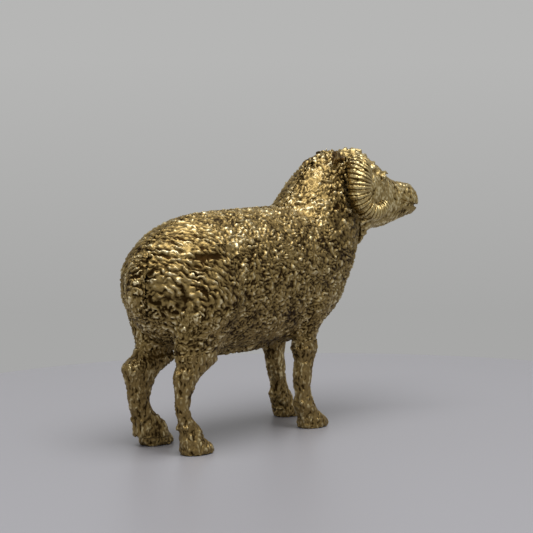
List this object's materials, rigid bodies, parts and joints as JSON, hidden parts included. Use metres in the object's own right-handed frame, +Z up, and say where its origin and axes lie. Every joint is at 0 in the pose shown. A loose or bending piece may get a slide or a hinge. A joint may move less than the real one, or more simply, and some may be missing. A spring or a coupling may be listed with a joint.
{
  "type": "ram figurine",
  "caption": "Standing ram figurine in gilt cast metal with a curly fleece, ridged coiled horns, cloven hooves and the head turned slightly to one side.",
  "frame": {"origin": "centre of the bounding box at the soles", "axes": "+X from rump to breast, +Y to the animal's left, +Z up"},
  "size_m": [0.0838, 0.026, 0.0574],
  "materials": {
    "gilt_fleece": "satin",
    "gilt_skin": "satin",
    "gilt_horn": "satin",
    "dowel_steel": "satin"
  },
  "bodies": {
    "root": {"fleece_shell_left": "gilt_fleece", "fleece_shell_right": "gilt_fleece", "tail": "gilt_fleece", "head": "gilt_skin", "horn_left": "gilt_horn", "horn_right": "gilt_horn", "ear_left": "gilt_skin", "ear_right": "gilt_skin", "leg_fore_left": "gilt_skin", "leg_fore_right": "gilt_skin", "leg_hind_left": "gilt_skin", "leg_hind_right": "gilt_skin", "seam_dowels": "dowel_steel"}
  },
  "joints": []
}
